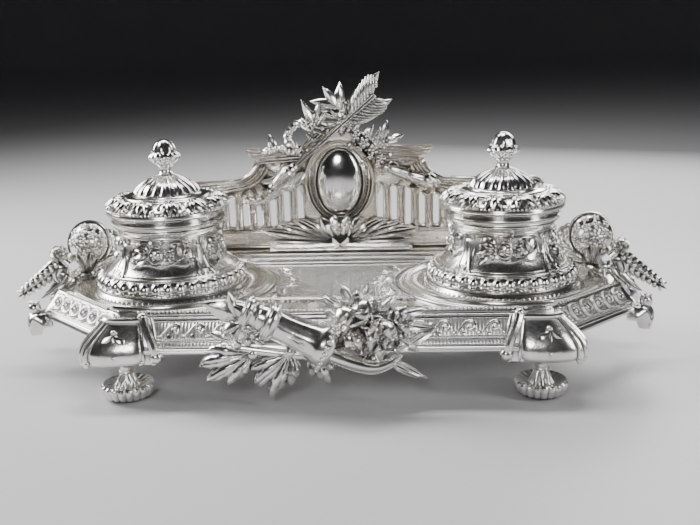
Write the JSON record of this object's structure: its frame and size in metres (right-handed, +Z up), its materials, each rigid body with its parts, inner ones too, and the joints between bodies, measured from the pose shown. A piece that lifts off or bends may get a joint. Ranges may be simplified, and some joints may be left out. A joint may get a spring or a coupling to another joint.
{
  "type": "desk inkstand",
  "caption": "Eight-sided silver-plated desk inkstand with hinged, lift-out inkwells, a pierced back gallery with a trophy, and cornucopia ends.",
  "frame": {"origin": "on the surface that the feet stand on, midway between the axes of the two inkwells", "axes": "+X along the stand to the viewer's right, +Y to the back, where the gallery is, +Z up"},
  "size_m": [0.336, 0.1469, 0.1453],
  "materials": {
    "silver_stand": "polished silver plate with darkened recesses",
    "silver_gallery": "cast silver plate, polished on its high points",
    "silver_castings": "cast and chased silver plate, darkened in its recesses",
    "silver_vessels": "polished and chased silver plate",
    "silver_mirror": "mirror polished silver plate",
    "clear_glass": "clear moulded glass",
    "steel_fixings": "plain steel"
  },
  "bodies": {
    "stand": {"tray": "silver_stand", "centre_panel": "silver_stand", "rear_steps": "silver_stand", "well_left": "silver_stand", "well_right": "silver_stand", "well_ring_left": "silver_stand", "well_ring_right": "silver_stand", "block_front_left": "silver_stand", "block_front_right": "silver_stand", "block_rear_left": "silver_stand", "block_rear_right": "silver_stand", "side_block_front_left": "silver_stand", "side_block_front_right": "silver_stand", "side_block_rear_left": "silver_stand", "side_block_rear_right": "silver_stand", "foot_front_left": "silver_stand", "foot_front_right": "silver_stand", "foot_rear_left": "silver_stand", "foot_rear_right": "silver_stand", "foot_studs": "steel_fixings", "gallery": "silver_gallery", "gallery_end_left": "silver_gallery", "gallery_end_right": "silver_gallery", "gallery_screws": "steel_fixings", "cartouche_frame": "silver_gallery", "cartouche_boss": "silver_mirror", "arrow": "silver_castings", "torch": "silver_castings", "ribbon": "silver_castings", "laurel": "silver_castings", "gallery_flowers": "silver_castings", "gallery_quiver": "silver_castings", "palm_left": "silver_castings", "palm_right": "silver_castings", "palm_bar": "silver_gallery", "front_quiver": "silver_castings", "front_roses": "silver_castings", "front_leaves": "silver_castings", "front_studs": "steel_fixings", "horn_left": "silver_castings", "horn_right": "silver_castings", "horn_flowers_left": "silver_castings", "horn_flowers_right": "silver_castings", "horn_spray_left": "silver_castings", "horn_spray_right": "silver_castings", "horn_screws": "steel_fixings"},
    "inkwell_left": {"inkwell_left": "silver_vessels", "liner_left": "clear_glass", "hinge_pin_left": "steel_fixings"},
    "lid_left": {"lid_left": "silver_vessels", "finial_left": "silver_vessels"},
    "inkwell_right": {"inkwell_right": "silver_vessels", "liner_right": "clear_glass", "hinge_pin_right": "steel_fixings"},
    "lid_right": {"lid_right": "silver_vessels", "finial_right": "silver_vessels"}
  },
  "joints": [
    {"name": "inkwell_left_lift", "type": "slide", "parent": "stand", "child": "inkwell_left", "axis": [0, 0, 1], "range_m": [0, 0.03]},
    {"name": "lid_left_hinge", "type": "hinge", "parent": "inkwell_left", "child": "lid_left", "pos_m": [-0.084, 0.0312, 0.0765], "axis": [-1, 0, 0], "range_deg": [0, 100]},
    {"name": "inkwell_right_lift", "type": "slide", "parent": "stand", "child": "inkwell_right", "axis": [0, 0, 1], "range_m": [0, 0.03]},
    {"name": "lid_right_hinge", "type": "hinge", "parent": "inkwell_right", "child": "lid_right", "pos_m": [0.084, 0.0312, 0.0765], "axis": [-1, 0, 0], "range_deg": [0, 100]}
  ]
}
